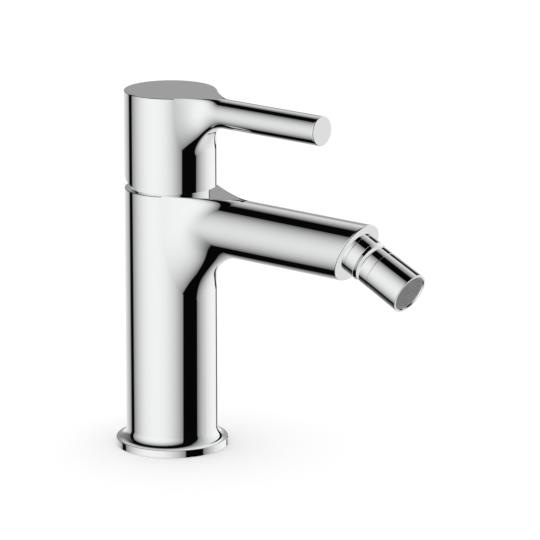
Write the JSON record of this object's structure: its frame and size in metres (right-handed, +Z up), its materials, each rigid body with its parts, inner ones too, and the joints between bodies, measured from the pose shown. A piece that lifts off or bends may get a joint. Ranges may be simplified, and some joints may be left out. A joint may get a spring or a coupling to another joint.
{
  "type": "bidet mixer",
  "caption": "Chromed single-lever bidet mixer: round column on a flared foot, straight spout with a swivelling aerator, lift-and-turn lever head and ceramic disc cartridge.",
  "frame": {"origin": "on the column's axis at the underside of the foot, where the mixer stands on the bidet", "axes": "+Z up along the column, +X forwards along the spout and the lever, +Y to the left of the spout as seen from behind the column"},
  "size_m": [0.1683, 0.0516, 0.1658],
  "materials": {
    "casting_chrome": "polished",
    "handle_chrome": "polished",
    "trim_chrome": "polished",
    "nut_chrome": "satin",
    "cartridge_plastic": "satin",
    "rotor_plastic": "satin",
    "ceramic": "polished",
    "seal_rubber": "matt",
    "spindle_brass": "machined",
    "steel": "machined",
    "cover_plastic": "polished",
    "seat_plastic": "satin",
    "screen_plastic": "satin",
    "insert_plastic": "satin"
  },
  "bodies": {
    "casting": {"body": "casting_chrome", "base_seal": "seal_rubber", "cartridge_base": "cartridge_plastic", "port_seal": "seal_rubber", "disc_seal": "seal_rubber", "fixed_disc": "ceramic", "cartridge_housing": "cartridge_plastic", "retaining_nut": "nut_chrome", "swivel_socket": "trim_chrome", "socket_ring": "seal_rubber", "swivel_collar": "trim_chrome", "ball_ring": "seal_rubber"},
    "rotor_unit": {"rotor": "rotor_plastic", "pivot_pin": "steel"},
    "disc_slide": {"disc_carrier": "rotor_plastic", "moving_disc": "ceramic"},
    "handle_unit": {"handle": "handle_chrome", "spindle": "spindle_brass", "grub_screw": "steel", "screw_cover": "cover_plastic"},
    "seat_unit": {"ball_seat": "seat_plastic"},
    "aerator_unit": {"swivel_ball": "trim_chrome", "aerator_gasket": "seal_rubber", "aerator_housing": "trim_chrome", "aerator_filter": "insert_plastic", "aerator_core": "insert_plastic", "aerator_screen": "screen_plastic"}
  },
  "joints": [
    {"name": "temperature_turn", "type": "hinge", "parent": "casting", "child": "rotor_unit", "pos_m": [0, 0, 0.1255], "axis": [0, 0, 1], "range_deg": [-40, 40]},
    {"name": "lever_lift", "type": "hinge", "parent": "rotor_unit", "child": "handle_unit", "pos_m": [0, 0, 0.1255], "axis": [0, -1, 0], "range_deg": [0, 20]},
    {"name": "disc_travel", "type": "slide", "parent": "rotor_unit", "child": "disc_slide", "axis": [1, 0, 0], "range_m": [0, 0.00694]},
    {"name": "aerator_swing", "type": "hinge", "parent": "casting", "child": "seat_unit", "pos_m": [0.1091, 0, 0.10777], "axis": [0.9048, 0, -0.4258], "continuous": true},
    {"name": "aerator_tilt", "type": "hinge", "parent": "seat_unit", "child": "aerator_unit", "pos_m": [0.11127, 0, 0.10675], "axis": [0, 1, 0], "range_deg": [-8, 8]}
  ],
  "couplings": [
    {"joint": "disc_travel", "follows": "lever_lift", "m_per_rad": 0.019841}
  ]
}
